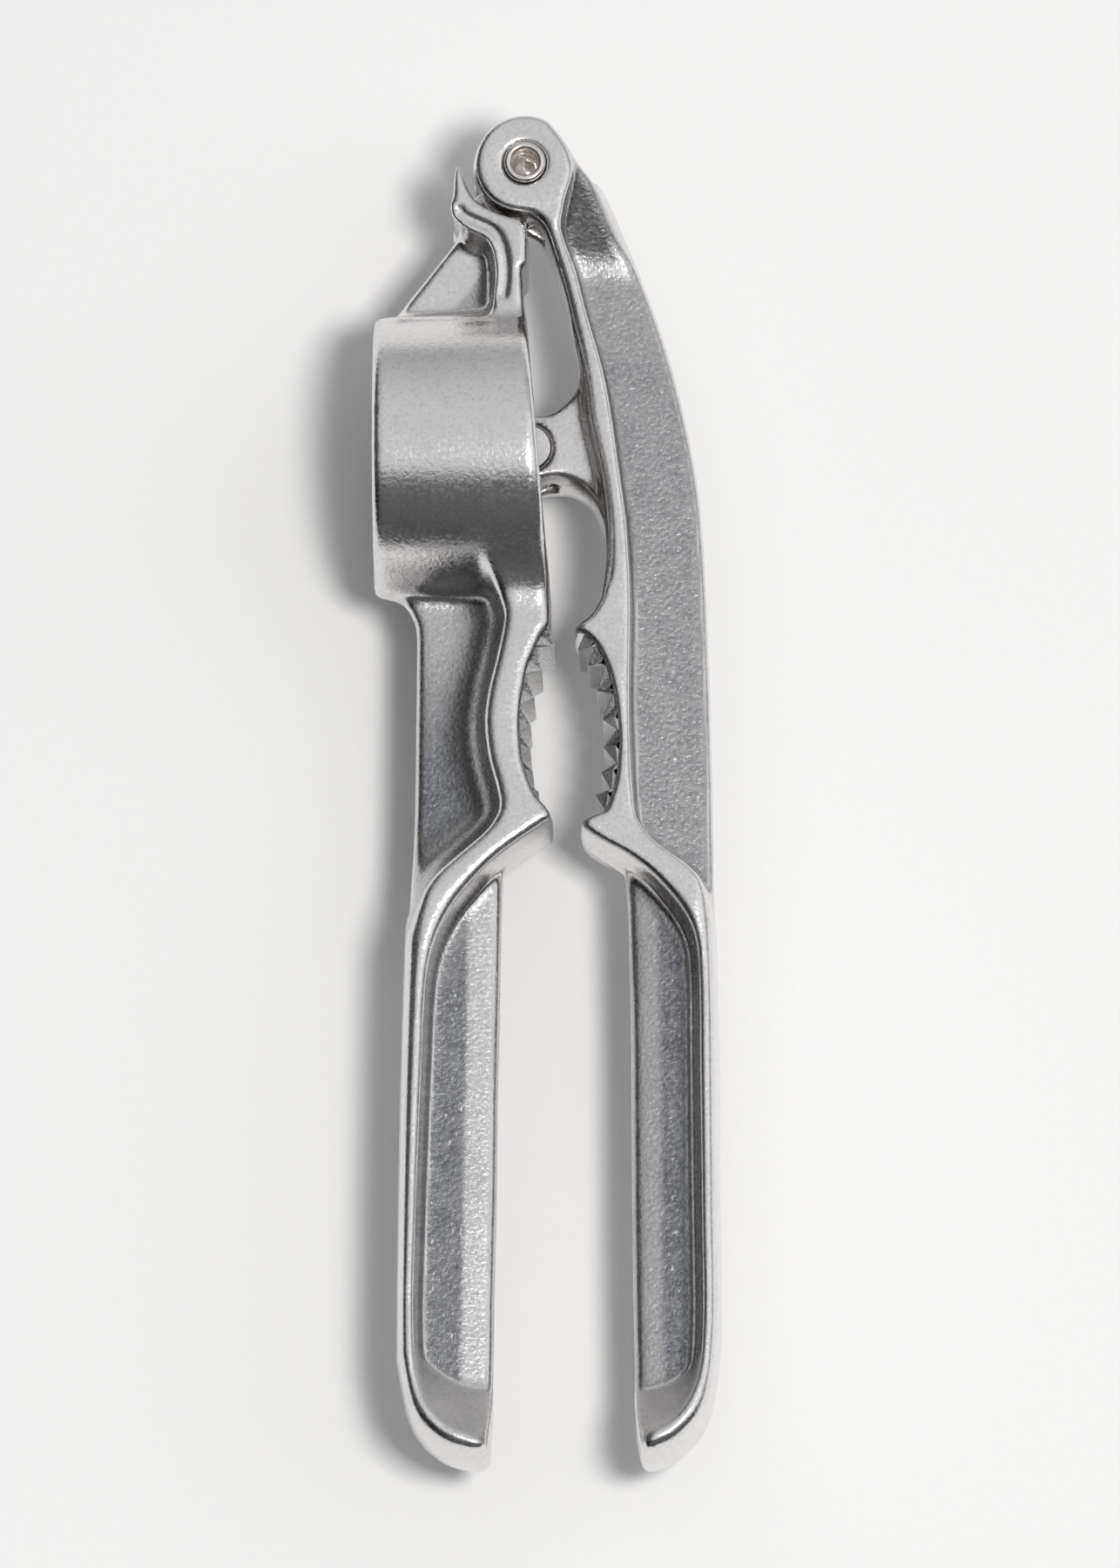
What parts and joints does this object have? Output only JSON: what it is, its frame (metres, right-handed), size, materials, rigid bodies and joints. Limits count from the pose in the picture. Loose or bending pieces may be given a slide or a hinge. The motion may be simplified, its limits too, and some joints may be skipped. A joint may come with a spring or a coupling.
{
  "type": "garlic press",
  "caption": "Hand garlic press in cast aluminium: perforated cup, hinged plunger handle, swivelling plunger and toothed nutcracker jaws behind the cup.",
  "frame": {"origin": "centre of the bounding box in plan, at the lowest point, on the side of the cup the press lies on", "axes": "+Y along the grips towards the hinge, +Z along the hinge axis towards the rivet's clinched end, +X from the cup handle towards the plunger handle"},
  "size_m": [0.0456, 0.18, 0.039],
  "materials": {
    "cast_aluminium": "tumbled and polished die casting",
    "plunger_aluminium": "plain die casting",
    "pin_aluminium": "drawn rod, cut flush",
    "rivet_nickel": "nickel-plated steel"
  },
  "bodies": {
    "cup_body": {"cup_handle": "cast_aluminium"},
    "lever_body": {"plunger_handle": "cast_aluminium", "hinge_rivet": "rivet_nickel", "plunger_pin": "pin_aluminium"},
    "plunger_body": {"plunger": "plunger_aluminium"}
  },
  "joints": [
    {"name": "handle_hinge", "type": "hinge", "parent": "cup_body", "child": "lever_body", "pos_m": [-0.00285, 0.0836, 0.0196], "axis": [0, 0, 1], "range_deg": [-1.9, 80]},
    {"name": "plunger_pivot", "type": "hinge", "parent": "lever_body", "child": "plunger_body", "pos_m": [-0.00245, 0.0456, 0.0196], "axis": [0, 0, 1], "range_deg": [-47, 2]}
  ],
  "couplings": [
    {"joint": "plunger_pivot", "follows": "handle_hinge", "ratio": -0.58}
  ]
}
